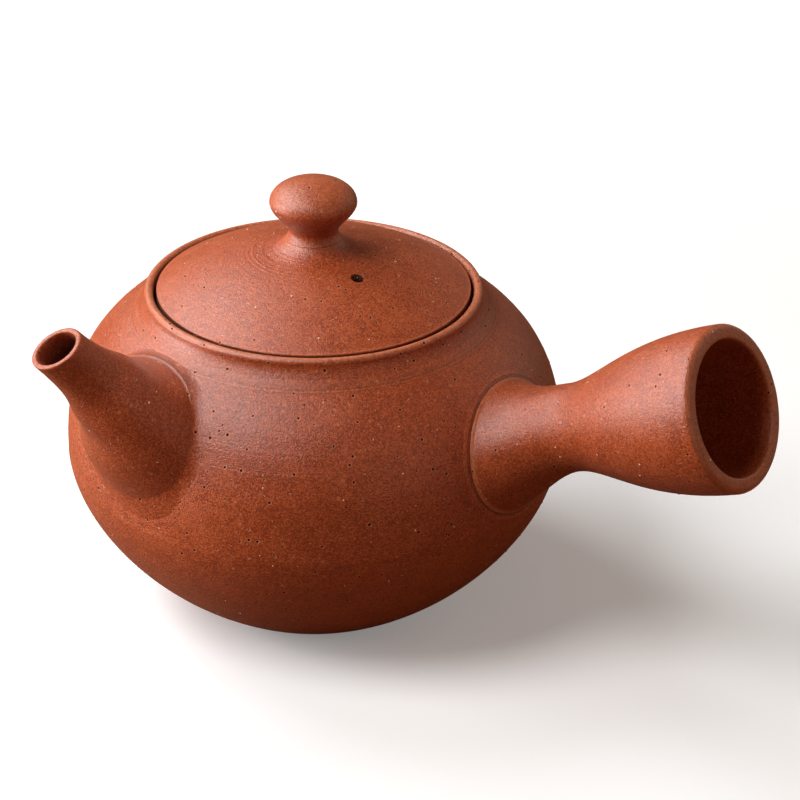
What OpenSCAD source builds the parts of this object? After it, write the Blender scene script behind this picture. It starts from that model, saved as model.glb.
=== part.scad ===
// Side-handled clay teapot with a drop-in lid.
// Millimetres, +Z up, origin at the middle of the foot, +X along the handle.

/* [Body] */
// Diameter at the belly
body_d = 105; // [98:0.5:116]
// Height of the belly above the table
belly_z = 34; // [31:0.5:37]
// Diameter of the flat foot
foot_d = 52; // [44:0.5:60]
// Height of the shoulder where the collar begins
shoulder_z = 64.7; // [63:0.1:67]
// Fullness of the curve from the belly up to the shoulder
shoulder_full = 2.48; // [2.2:0.02:2.8]
// Fullness of the curve from the belly down to the foot
under_full = 1.66; // [1.5:0.02:1.9]
// Thickness of the thrown wall
wall = 3.2; // [2.6:0.1:3.8]
// Thickness of the floor
floor_t = 4; // [3:0.1:6]

/* [Collar and seat] */
// Diameter of the collar where it leaves the shoulder
collar_d = 74.7; // [73:0.1:77]
// Diameter of the collar at its top
rim_d = 70.6; // [70:0.2:71.6]
// Height of the rim above the shoulder
collar_h = 4.8; // [4.4:0.1:6]
// Softness of the sweep from the shoulder up to the lip
collar_soft = 1.3; // [0.8:0.1:1.6]
// Width of the rounded lip of the collar
lip_w = 2; // [1.6:0.05:2.4]
// Depth of the seat below the rim
seat_depth = 3; // [2.6:0.1:3.6]
// Width of the ledge that carries the lid
ledge_w = 3.8; // [3:0.1:4.6]
// Thickness of the ledge
ledge_t = 3; // [2.4:0.1:3.6]
// Width of the fine line cut round the foot of the collar
groove_w = 0.5; // [0.3:0.05:0.8]

/* [Lid] */
// Gap between the edge of the lid and the collar
lid_gap = 0.7; // [0.4:0.05:1]
// How far the edge of the lid lies below the rim
lid_sunk = 0.2; // [0:0.05:0.6]
// Rise of the dome above the edge of the lid
lid_rise = 9.3; // [7:0.1:11]
// Thickness of the dome
lid_t = 3; // [2.4:0.1:3.4]
// Radius of the rounded upper edge of the lid
lid_round = 0.3; // [0.2:0.05:0.8]
// Depth of the skirt below the seat
skirt_h = 4.5; // [3:0.1:7]
// Thickness of the skirt
skirt_t = 2.4; // [1.8:0.1:3.2]
// Gap between the skirt and the ledge
skirt_gap = 0.5; // [0.35:0.05:0.9]
// Diameter of the vent hole
vent_d = 2.7; // [1.4:0.1:3.4]
// Distance of the vent hole from the middle of the lid
vent_r = 15.3; // [12:0.1:20]
// Turn of the vent hole from the handle
vent_az = -18.7; // [-180:0.5:180]

/* [Knob] */
// Height of the boss on the lid that carries the knob
boss_h = 1.7; // [1:0.1:3]
// Diameter of the boss under the knob
boss_d = 11.6; // [11:0.1:13]
// Diameter at which the flare of the boss runs out on the dome
flare_d = 22; // [18:0.2:28]
// Diameter of the knob
knob_d = 18.1; // [16:0.1:22]
// Height of the knob above its boss
knob_h = 12.8; // [11:0.1:16]
// Height of the widest ring of the knob above its boss
knob_wide_z = 8.2; // [7.4:0.1:9.6]
// Diameter of the neck of the knob
neck_d = 10.2; // [8:0.1:11]
// Height of the neck above the boss
neck_z = 0.7; // [0.3:0.05:1]

/* [Handle] */
// Height on the body at which the axis of the handle leaves it
handle_z = 49.7; // [46:0.1:52]
// Rise of the handle above level
handle_rise = 23.1; // [15:0.1:30]
// Length of the handle from the body to its mouth
handle_len = 52.7; // [46:0.1:80]
// Diameter of the flare where the handle is luted on
handle_base_d = 30.6; // [29:0.2:33]
// Diameter of the waist of the handle
waist_d = 17.7; // [15.6:0.1:20]
// Distance of the waist from the body
waist_t = 15.1; // [12:0.1:18]
// Diameter of the mouth of the handle
mouth_d = 32.6; // [28:0.2:38]
// Thickness of the wall of the handle
handle_wall = 3; // [2.4:0.1:3.4]

/* [Spout] */
// Turn of the spout seat from the handle
spout_seat_az = -101.7; // [-120:0.5:-75]
// Height on the body at which the axis of the spout leaves it
spout_z = 54.9; // [53:0.1:56]
// Turn of the spout away from straight outwards
spout_skew = -11.6; // [-14:0.2:4]
// Rise of the spout above level
spout_rise = 50.5; // [46:0.5:54]
// Length of the spout from the body to its tip
spout_len = 26.8; // [24:0.2:40]
// Diameter of the flare where the spout is luted on
spout_base_d = 31; // [29.6:0.2:32.4]
// Diameter of the spout at its tip
tip_d = 11; // [10.4:0.1:14]
// Slant of the cut across the tip
tip_cut = 11.5; // [0:0.5:16]
// Thickness of the wall of the spout at its tip
tip_wall = 1.3; // [1.1:0.05:1.6]
// Thickness of the wall of the spout at the body
spout_wall = 3; // [2.4:0.1:3.6]
// Diameter of the hole through the body under the spout
pour_d = 16; // [13:0.2:17.6]

/* [Strainer] */
// Diameter of the clay dome inside the pouring hole
strainer_d = 27; // [25:0.2:28.6]
// Thickness of the clay dome
strainer_t = 2; // [1.6:0.1:2.6]
// Diameter of each strainer hole
hole_d = 2.2; // [1.6:0.1:2.6]
// Number of rings of strainer holes round the middle one
hole_rings = 3; // [1:1:3]
// Angle between neighbouring rings of strainer holes
hole_step = 19; // [17:0.5:21]

/* [Hidden] */
$fn = 96;
clay = [0.60, 0.28, 0.18];
clay_dark = [0.50, 0.22, 0.14];
clay_light = [0.66, 0.33, 0.22];
steps = 12;
belly_r = body_d / 2;
foot_r = foot_d / 2;
collar_r = collar_d / 2;
rim_r = rim_d / 2;
rim_z = shoulder_z + collar_h;
seat_z = rim_z - seat_depth;
seat_r = rim_r - lip_w;
ledge_r = seat_r - ledge_w;
inner_r = belly_r - wall;
up_h = rise_for(belly_r, collar_r, shoulder_z - belly_z, shoulder_full);
low_h = rise_for(belly_r, foot_r, belly_z, under_full);
ledge_z = seat_z - ledge_t;
ledge_root_r = body_r(ledge_z) - wall / cos(wall_rise(ledge_z));
in_up_h = rise_for(inner_r, ledge_root_r, ledge_z - belly_z, shoulder_full);
in_low_h = rise_for(inner_r, foot_r, belly_z - floor_t, under_full);
lid_r = seat_r - lid_gap;
lid_edge_z = rim_z - lid_sunk;
dome_r = (lid_r * lid_r + lid_rise * lid_rise) / (2 * lid_rise);
dome_z = lid_edge_z + lid_rise - dome_r;
lid_top = lid_edge_z + lid_rise;
skirt_r = ledge_r - skirt_gap;
boss_z = lid_top + boss_h;
boss_r = boss_d / 2;
flare_r = flare_d / 2;
lip_round = lip_w / 2;
handle_lip = handle_wall / 2;
handle_back = 8;
spout_back = 9;
strainer_rise = wall_rise(spout_z);
collar_rise = wall_rise(shoulder_z);
collar_way = [-sin(collar_rise), cos(collar_rise)];
collar_face = [cos(collar_rise), sin(collar_rise)];

// Height at which a full curve from radius a closes, when it passes radius b at height h
function rise_for(a, b, h, n) = h / pow(1 - pow(b / a, n), 1 / n);

// Point of a full curve of radius a and height h at angle t
function full_at(a, h, n, t) = [a * pow(cos(t), 2 / n), h * pow(sin(t), 2 / n)];

// Angle at which a full curve of height h reaches height z
function full_end(h, n, z) = asin(pow(z / h, n / 2));

// Points of a full curve, upwards for side 1 and downwards for side -1
function full_run(a, h, n, z, side) = let (e = full_end(h, n, z))
    [for (i = [0 : steps]) let (p = full_at(a, h, n, e * i / steps)) [p[0], belly_z + side * p[1]]];

// Outer radius of the body at height z
function body_r(z) = z > belly_z
    ? belly_r * pow(1 - pow((z - belly_z) / up_h, shoulder_full), 1 / shoulder_full)
    : belly_r * pow(1 - pow((belly_z - z) / low_h, under_full), 1 / under_full);

// Angle above level at which the outside of the body faces at height z over the belly
function wall_rise(z) = atan2(pow((z - belly_z) / up_h, shoulder_full - 1) / up_h,
    pow(body_r(z) / belly_r, shoulder_full - 1) / belly_r);

// The list in the other order
function turned(v) = [for (i = [len(v) - 1 : -1 : 0]) v[i]];

// The list without its first point
function rest(v) = [for (i = [1 : len(v) - 1]) v[i]];

// Points of a cubic curve with two pull points, in n steps
function pull_curve(a, b, c, d, n) = [for (i = [0 : n]) let (u = i / n, w = 1 - u)
    w * w * w * a + 3 * w * w * u * b + 3 * w * u * u * c + u * u * u * d];

// Points of an arc round c from angle a to angle b in n steps
function arc(c, r, a, b, n) = [for (i = [0 : n]) let (t = a + (b - a) * i / n)
    [c[0] + r * cos(t), c[1] + r * sin(t)]];

// Height of the dome of the lid at radius r, with the dome lowered by d
function dome_at(r, d) = dome_z + sqrt((dome_r - d) * (dome_r - d) - r * r);

// Points of the dome from radius a out to radius b
function dome_run(a, b, d) = [for (i = [0 : steps]) let (r = a + (b - a) * i / steps) [r, dome_at(r, d)]];

// Radii are the first value and heights the second in every profile below.
outer_low = turned(full_run(belly_r, low_h, under_full, belly_z, -1));
outer_up = rest(full_run(belly_r, up_h, shoulder_full, shoulder_z - belly_z, 1));
inner_low = full_run(inner_r, in_low_h, under_full, belly_z - floor_t, -1);
inner_up = turned(rest(full_run(inner_r, in_up_h, shoulder_full, ledge_z - belly_z, 1)));
lip = arc([rim_r - lip_round, rim_z - lip_round], lip_round, 0, 180, 6);
collar_foot = [collar_r, shoulder_z] + collar_way * groove_w;
groove = [[collar_r, shoulder_z] + (collar_way - collar_face) * groove_w / 2];
collar_wall = pull_curve(collar_foot, collar_foot + collar_way * collar_soft,
    [rim_r, rim_z - lip_round - collar_soft], [rim_r, rim_z - lip_round], 6);
body_out = concat([[0, 0]], outer_low, outer_up, groove, collar_wall, rest(lip));
boss_flare = pull_curve([boss_r, boss_z], [boss_r + boss_h * 0.4, boss_z - boss_h * 0.8],
    [(boss_r + flare_r) / 2, dome_at((boss_r + flare_r) / 2, 0)], [flare_r, dome_at(flare_r, 0)], 6);

handle_r = pull_curve([handle_base_d / 2, -6], [handle_base_d / 2 - 3, -1],
    [waist_d / 2, waist_t - 9], [waist_d / 2, waist_t], 8);
handle_flare = pull_curve([waist_d / 2, waist_t], [waist_d / 2, waist_t + 8],
    [mouth_d / 2, handle_len - 21], [mouth_d / 2, handle_len - handle_lip], 10);
handle_out = concat([[handle_base_d / 2 + 1.2, -handle_back]], handle_r, rest(handle_flare));
handle_in = [for (p = turned(handle_out)) [p[0] - handle_wall, p[1]]];
handle_tip = arc([mouth_d / 2 - handle_lip, handle_len - handle_lip], handle_lip, 0, 180, 8);

spout_run = pull_curve([spout_base_d / 2, -8], [spout_base_d / 2 - 3.5, 4],
    [tip_d / 2 + 0.7, 10], [tip_d / 2, spout_len], 12);
spout_out = concat([[spout_base_d / 2 + 0.6, -spout_back]], spout_run, [[tip_d / 2, spout_len + 3]]);
spout_in = [for (p = turned(spout_out)) let (k = (spout_len - p[1]) / (spout_len + spout_back))
    [p[0] - tip_wall - (spout_wall - tip_wall) * max(0, k), p[1]]];

// Stands a piece that was turned about Z on the axis of the handle
module on_handle() {
    translate([body_r(handle_z), 0, handle_z]) rotate([0, 90 - handle_rise, 0]) children();
}

// Stands a piece that was turned about Z on the axis of the spout
module on_spout() {
    rotate([0, 0, spout_seat_az]) translate([body_r(spout_z), 0, spout_z])
        rotate([0, 0, spout_skew]) rotate([0, 90 - spout_rise, 0]) children();
}

// Stands a piece that was turned about Z square to the wall at the spout
module on_wall() {
    rotate([0, 0, spout_seat_az]) translate([body_r(spout_z), 0, spout_z])
        rotate([0, 90 - strainer_rise, 0]) children();
}

// The body as one full solid up to the seat, for cutting pieces to its outside
module body_blank() {
    rotate_extrude() polygon(concat(body_out, [[0, seat_z]]));
}

// The hollow of the body up to the ledge, for cutting pieces to its inside
module inside_blank() {
    rotate_extrude()
        polygon(concat([[0, ledge_z]], inner_up, inner_low, [[0, floor_t]]));
}

module body() {
    color(clay) difference() {
        rotate_extrude() polygon(concat(body_out,
            [[seat_r, seat_z], [ledge_r, seat_z], [ledge_r, ledge_z]],
            inner_up, inner_low, [[0, floor_t]]));
        on_spout() translate([0, 0, -16]) cylinder(d = pour_d, h = 20);
    }
}

module spout() {
    color(clay_dark) difference() {
        on_spout() difference() {
            rotate_extrude() polygon(concat(spout_out, spout_in));
            translate([0, 0, spout_len]) rotate([0, -tip_cut, 0]) translate([-tip_d, -tip_d, 0])
                cube([2 * tip_d, 2 * tip_d, 12]);
        }
        body_blank();
    }
}

module handle() {
    color(clay_light) difference() {
        on_handle() rotate_extrude() polygon(concat(handle_out, rest(handle_tip), rest(handle_in)));
        body_blank();
    }
}

// One strainer hole at angle a from the axis and turn b about it
module strainer_hole(a, b) {
    rotate([0, 0, b]) rotate([0, 180 - a, 0]) translate([0, 0, strainer_d / 4])
        cylinder(d = hole_d, h = strainer_d / 2, $fn = 24);
}

module strainer() {
    color(clay) difference() {
        intersection() {
            on_wall() difference() {
                sphere(d = strainer_d, $fn = 48);
                sphere(d = strainer_d - 2 * strainer_t, $fn = 48);
            }
            inside_blank();
        }
        on_wall() {
            strainer_hole(0, 0);
            for (ring = [1 : hole_rings]) for (i = [0 : 6 * ring - 1])
                strainer_hole(ring * hole_step, i * 60 / ring);
        }
    }
}

module lid() {
    edge_r = lid_r - lid_round;
    color(clay_light) difference() {
        rotate_extrude() polygon(concat([[0, boss_z]], boss_flare, rest(dome_run(flare_r, edge_r, 0)),
            rest(arc([edge_r, dome_at(edge_r, 0) - lid_round], lid_round, 90, 0, 4)),
            [[lid_r, seat_z], [skirt_r, seat_z], [skirt_r, seat_z - skirt_h],
            [skirt_r - skirt_t, seat_z - skirt_h]],
            turned(dome_run(0, skirt_r - skirt_t, lid_t))));
        rotate([0, 0, vent_az]) translate([vent_r, 0, seat_z]) cylinder(d = vent_d, h = 2 * lid_rise);
    }
}

module knob() {
    neck = [neck_d / 2, neck_z];
    wide = [knob_d / 2, knob_wide_z];
    drop = knob_wide_z - neck_z;
    crown = knob_h - knob_wide_z;
    cap = pull_curve([0, knob_h], [knob_d * 0.28, knob_h], wide + [0, crown * 0.6], wide, 8);
    under = pull_curve(wide, wide - [0, drop * 0.26], neck + [0, drop * 0.28], neck, 10);
    color(clay_light) translate([0, 0, boss_z]) rotate_extrude()
        polygon(concat(cap, rest(under), [[boss_r - 0.2, 0], [0, 0]]));
}

body();
spout();
handle();
strainer();
lid();
knob();
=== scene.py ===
import math
import bpy
import bmesh
from mathutils import Matrix, Vector


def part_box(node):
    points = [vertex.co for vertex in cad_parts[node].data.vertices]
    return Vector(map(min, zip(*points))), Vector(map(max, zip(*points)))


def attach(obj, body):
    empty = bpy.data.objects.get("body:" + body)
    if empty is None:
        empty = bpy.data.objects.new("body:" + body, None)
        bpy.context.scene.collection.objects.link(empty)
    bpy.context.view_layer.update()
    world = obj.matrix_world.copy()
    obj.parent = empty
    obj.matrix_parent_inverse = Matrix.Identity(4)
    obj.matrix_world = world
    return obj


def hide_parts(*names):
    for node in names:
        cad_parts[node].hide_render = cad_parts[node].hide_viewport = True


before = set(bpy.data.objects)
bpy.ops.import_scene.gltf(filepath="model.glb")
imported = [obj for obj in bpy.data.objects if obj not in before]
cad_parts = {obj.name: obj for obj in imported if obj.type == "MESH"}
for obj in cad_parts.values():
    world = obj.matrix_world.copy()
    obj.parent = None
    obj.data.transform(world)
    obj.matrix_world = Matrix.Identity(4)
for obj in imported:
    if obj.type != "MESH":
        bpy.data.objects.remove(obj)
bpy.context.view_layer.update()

mm = 0.001
weld = 0.000002  # points closer than this are one
scene = bpy.context.scene


def addObject(name, data):
    obj = bpy.data.objects.new(name, data)
    scene.collection.objects.link(obj)
    return obj


# curves shared by the thrown pieces

def riseFor(wide, narrow, height, full):
    # height at which a full curve closes when it passes "narrow" at "height"
    return height / (1 - (narrow / wide) ** full) ** (1 / full)


def fullRun(wide, closes, full, height, side, baseZ, steps):
    # points of a full curve from its widest ring, up for side 1 and down for side -1
    last = math.asin((height / closes) ** (full / 2))
    points = []
    for i in range(steps + 1):
        t = last * i / steps
        points.append((wide * math.cos(t) ** (2 / full), baseZ + side * closes * math.sin(t) ** (2 / full)))
    return points


def pullCurve(a, b, c, d, steps):
    # cubic curve with two pull points
    points = []
    for i in range(steps + 1):
        u = i / steps
        w = 1 - u
        k = (w * w * w, 3 * w * w * u, 3 * w * u * u, u * u * u)
        points.append(tuple(k[0] * a[j] + k[1] * b[j] + k[2] * c[j] + k[3] * d[j] for j in range(2)))
    return points


def arcRun(centre, radius, start, end, steps):
    points = []
    for i in range(steps + 1):
        t = math.radians(start + (end - start) * i / steps)
        points.append((centre[0] + radius * math.cos(t), centre[1] + radius * math.sin(t)))
    return points


def smooth(low, high, x):
    t = min(1.0, max(0.0, (x - low) / (high - low)))
    return t * t * (3 - 2 * t)


def marked(points, wearAndPaintedLight, outside):
    # profile points with one value of wear and painted light, and one share of the throwing lines
    return [(p[0], p[1], wearAndPaintedLight, outside) for p in points]


# the camera stands where the photograph was taken from

cameraView = {
    "azimuth": 34.0,
    "elevation": 27.7,
    "aim": (15.05 * mm, 10.15 * mm, 42.5 * mm),
    "distance": 553.8 * mm,
    "lens": 117.0,
    "roll": 0.556,
}


def makeCamera(v):
    az = math.radians(v["azimuth"])
    el = math.radians(v["elevation"])
    back = Vector((math.sin(az) * math.cos(el), -math.cos(az) * math.cos(el), math.sin(el)))
    right = Vector((math.cos(az), math.sin(az), 0))
    up = back.cross(right)
    roll = math.radians(v["roll"])
    x = right * math.cos(roll) + up * math.sin(roll)
    y = up * math.cos(roll) - right * math.sin(roll)
    m = Matrix((x, y, back)).transposed().to_4x4()
    m.translation = Vector(v["aim"]) + back * v["distance"]
    data = bpy.data.cameras.new("photoCamera")
    data.lens = v["lens"]
    data.sensor_width = 36.0
    data.clip_start = 0.01
    cam = addObject("photoCamera", data)
    cam.matrix_world = m
    scene.camera = cam


makeCamera(cameraView)
print("camera placed")


# building node trees

class Tree:
    def __init__(self, tree):
        self.tree = tree
        self.count = 0

    def add(self, kind, settings=None, **inputs):
        n = self.tree.nodes.new(kind)
        n.location = (220 * (self.count % 12), -260 * (self.count // 12))
        self.count += 1
        for key, value in (settings or {}).items():
            setattr(n, key, value)
        for key, value in inputs.items():
            self.put(n, key, value)
        return n

    def put(self, n, key, value):
        # i2 is the socket at place 2, any other key is a socket's name with _ for a space
        placed = key[0] == "i" and key[1:].isdigit()
        socket = n.inputs[int(key[1:]) if placed else key.replace("_", " ")]
        if isinstance(value, bpy.types.NodeSocket):
            self.tree.links.new(value, socket)
        else:
            socket.default_value = value

    def math(self, kind, a, b=0.0, clamp=False):
        return self.add("ShaderNodeMath", {"operation": kind, "use_clamp": clamp}, i0=a, i1=b).outputs[0]

    def weighted(self, start, patterns, weights, middle):
        # start, moved by how far each pattern is from its middle
        total = start
        for key, weight in weights.items():
            apart = self.math("SUBTRACT", patterns[key], middle)
            total = self.math("ADD", total, self.math("MULTIPLY", apart, weight))
        return total

    def mixColour(self, factor, a, b):
        n = self.add("ShaderNodeMix", {"data_type": "RGBA"}, i0=factor, i6=a, i7=b)
        return n.outputs[2]

    def between(self, value, low, high, toLow=0.0, toHigh=1.0, soft=False):
        kind = "SMOOTHSTEP" if soft else "LINEAR"
        n = self.add("ShaderNodeMapRange", {"interpolation_type": kind, "clamp": True})
        for i, v in enumerate((value, low, high, toLow, toHigh)):
            self.put(n, "i%d" % i, v)
        return n.outputs[0]


def newMaterial(name):
    mat = bpy.data.materials.new(name)
    mat.use_nodes = True
    mat.node_tree.nodes.clear()
    return mat, Tree(mat.node_tree)


# fired clay

clayLook = {
    "light": (0.520, 0.102, 0.026, 1),
    "middle": (0.400, 0.066, 0.013, 1),
    "deep": (0.270, 0.038, 0.007, 1),
    # worn: rubbed edges and painted highlight; pit: the pits, and painted shade
    "wornAndHighlight": (0.680, 0.230, 0.105, 1),
    "pitAndShade": (0.018, 0.006, 0.004, 1),
    "fleck": (0.780, 0.420, 0.280, 1),
    "roughness": (0.30, 0.46),
    "shine": 0.8,
    "sheen": 0.05,
    "sheenTint": (1.0, 0.88, 0.82, 1),
    # sizes of the patterns in millimetres
    "kilnSize": 26.0,
    "cloudSize": 4.5,
    "peelSize": 1.1,
    "rubAndHighlightSize": 0.8,
    "grainSize": 0.50,
    "sandSize": 0.26,
    "bandStep": 3.4,
    "lineStep": 0.55,
    # spots: cell size and reach in millimetres, place in the pattern, share of cells left empty
    "specks": (1.15, 0.16, 37.0, 0.55),
    "flecks": (1.1, 0.19, 71.0, 0.70),
    "pits": (1.6, 0.36, 11.0),  # each piece has its own share
    # how far each pattern moves the tone, and how far it stands out of the skin
    "tone": {"kiln": 0.5, "cloud": 0.5, "bands": 0.08, "grain": 0.6, "sand": 0.76, "lines": 0.08},
    "relief": {"grain": 0.3, "skinGrain": 0.5, "peel": 0.2, "lines": 0.2, "bands": 0.2,
               "pits": -1.6, "specks": -0.4, "flecks": 0.4},
    "bump": 0.8,
    "bumpHeight": 0.25 * mm,
}


def makeClay(name, look, warm, shift, noPits):
    mat, t = newMaterial(name)
    place = t.add("ShaderNodeTexCoord").outputs["Object"]
    # millimetres, moved so that no two pieces share a pattern
    inMm = {"Scale": (1 / mm, 1 / mm, 1 / mm), "Location": (shift, shift * 2, 0)}
    here = t.add("ShaderNodeMapping", None, Vector=place, **inMm).outputs[0]
    path = t.add("ShaderNodeAttribute", {"attribute_name": "turnPath"}).outputs["Fac"]
    wearAndPaintedLight = t.add("ShaderNodeAttribute", {"attribute_name": "wearAndPaintedLight"}).outputs["Fac"]

    def noiseAt(size, detail, rough=0.55):
        n = t.add("ShaderNodeTexNoise", None, Vector=here, Scale=1 / size, Detail=detail, Roughness=rough)
        return n.outputs["Fac"]

    def rings(step, detail):
        n = t.add("ShaderNodeTexNoise", {"noise_dimensions": "1D"}, W=path, Scale=1 / step, Detail=detail)
        t.put(n, "Roughness", 0.6)
        return n.outputs["Fac"]

    def cells(size, vector):
        # distance to the nearest cell's middle, and that cell's own level from 0 to 1
        n = t.add("ShaderNodeTexVoronoi", {"feature": "F1"}, Vector=vector, Scale=1 / size, Randomness=1.0)
        level = t.add("ShaderNodeSeparateColor", None, Color=n.outputs["Color"]).outputs[0]
        return n.outputs["Distance"], level

    def spots(size, reach, move, empty):
        # a sparse set of small round spots: how deep inside one this place is, and the rim around it
        moved = t.add("ShaderNodeMapping", None, Vector=here, Location=(move, -move, move * 3)).outputs[0]
        away, level = cells(size, moved)
        chosen = t.math("GREATER_THAN", level, empty)
        wide = t.math("MULTIPLY", t.between(level, empty, 1.0, 0.35, 1.0), chosen)
        edge = t.math("MULTIPLY", wide, reach / size)
        inside = t.between(away, t.math("MULTIPLY", edge, 0.55), edge, 1.0, 0.0, True)
        inside = t.math("MULTIPLY", inside, chosen)
        rim = t.between(away, edge, t.math("MULTIPLY", edge, 1.8), 1.0, 0.0, True)
        rim = t.math("MULTIPLY", t.math("SUBTRACT", rim, inside), chosen, True)
        return inside, rim

    pits, pitRimHighlights = spots(*look["pits"], noPits)
    patterns = {
        "kiln": noiseAt(look["kilnSize"], 3),
        "cloud": noiseAt(look["cloudSize"], 4),
        "grain": noiseAt(look["grainSize"], 3, 0.6),
        "sand": cells(look["sandSize"], here)[1],
        "skinGrain": noiseAt(look["sandSize"], 2, 0.6),
        "peel": noiseAt(look["peelSize"], 2),
        "lines": rings(look["lineStep"], 3),
        "bands": rings(look["bandStep"], 2),
        "pits": pits,
        "specks": spots(*look["specks"])[0],
        "flecks": spots(*look["flecks"])[0],
    }

    ramp = t.add("ShaderNodeValToRGB", None, Fac=t.weighted(0.5 + warm, patterns, look["tone"], 0.5))
    steps = ramp.color_ramp.elements
    steps[0].position = 0.26
    steps[0].color = look["deep"]
    steps[1].position = 0.76
    steps[1].color = look["light"]
    steps.new(0.5).color = look["middle"]
    colour = ramp.outputs["Color"]

    # rubbed edges are lighter, and edges and lips get painted highlight; below zero, painted shade darkens
    # creases, gaps, holes and bores
    rubAndHighlightMask = t.math("MULTIPLY", t.math("MAXIMUM", wearAndPaintedLight, 0.0), t.between(noiseAt(look["rubAndHighlightSize"], 3), 0.25, 0.55))
    colour = t.mixColour(t.math("MULTIPLY", rubAndHighlightMask, 0.85), colour, look["wornAndHighlight"])
    paintedShade = t.math("MAXIMUM", t.math("MULTIPLY", wearAndPaintedLight, -0.85), 0.0)
    colour = t.mixColour(paintedShade, colour, look["pitAndShade"])
    # spots lie over both, pits last: the light rims round the pits are painted highlight, and the pits'
    # near-black is partly painted shade inside them
    for spot, strength, shade in (
        (pitRimHighlights, 0.5, "wornAndHighlight"),
        (patterns["flecks"], 0.8, "fleck"),
        (patterns["specks"], 0.55, "deep"),
        (pits, 0.92, "pitAndShade"),
    ):
        colour = t.mixColour(t.math("MULTIPLY", spot, strength), colour, look[shade])

    height = t.weighted(0.0, patterns, look["relief"], 0.0)
    bump = t.add("ShaderNodeBump", None, Strength=look["bump"], Distance=look["bumpHeight"], Height=height)
    uneven = t.weighted(0.0, patterns, {"cloud": 0.5, "grain": 0.5}, 0.0)
    rough = t.between(uneven, 0.3, 0.7, *look["roughness"])
    skin = t.add("ShaderNodeBsdfPrincipled", None, Base_Color=colour, Roughness=rough, Normal=bump.outputs[0])
    t.put(skin, "Specular IOR Level", t.between(pits, 0.0, 1.0, look["shine"], 0.0))  # no shine down in a pit
    t.put(skin, "Sheen Weight", t.between(pits, 0.0, 1.0, look["sheen"], 0.0))
    t.put(skin, "Sheen Roughness", 0.45)
    t.put(skin, "Sheen Tint", look["sheenTint"])
    t.add("ShaderNodeOutputMaterial", None, i0=skin.outputs[0])
    return mat


# warmth, place in the pattern, share of cells without a pit
clayBody = makeClay("clayBody", clayLook, 0.0, 0.0, 0.50)
claySpout = makeClay("claySpout", clayLook, -0.01, 40.0, 0.66)
clayHandle = makeClay("clayHandle", clayLook, 0.02, 90.0, 0.72)
clayLid = makeClay("clayLid", clayLook, 0.03, 150.0, 0.62)
clayKnob = makeClay("clayKnob", clayLook, 0.02, 210.0, 0.84)
clayStrainer = makeClay("clayStrainer", clayLook, -0.04, 260.0, 0.70)
print("clay materials made")


# the wheel: turns a profile about Z, with throwing lines pressed into its own faces

def addSockets(tree, inputs):
    for name, kind in inputs.items():
        tree.interface.new_socket(name=name, in_out="INPUT", socket_type="NodeSocket" + kind)
    tree.interface.new_socket(name="Geometry", in_out="OUTPUT", socket_type="NodeSocketGeometry")


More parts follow.
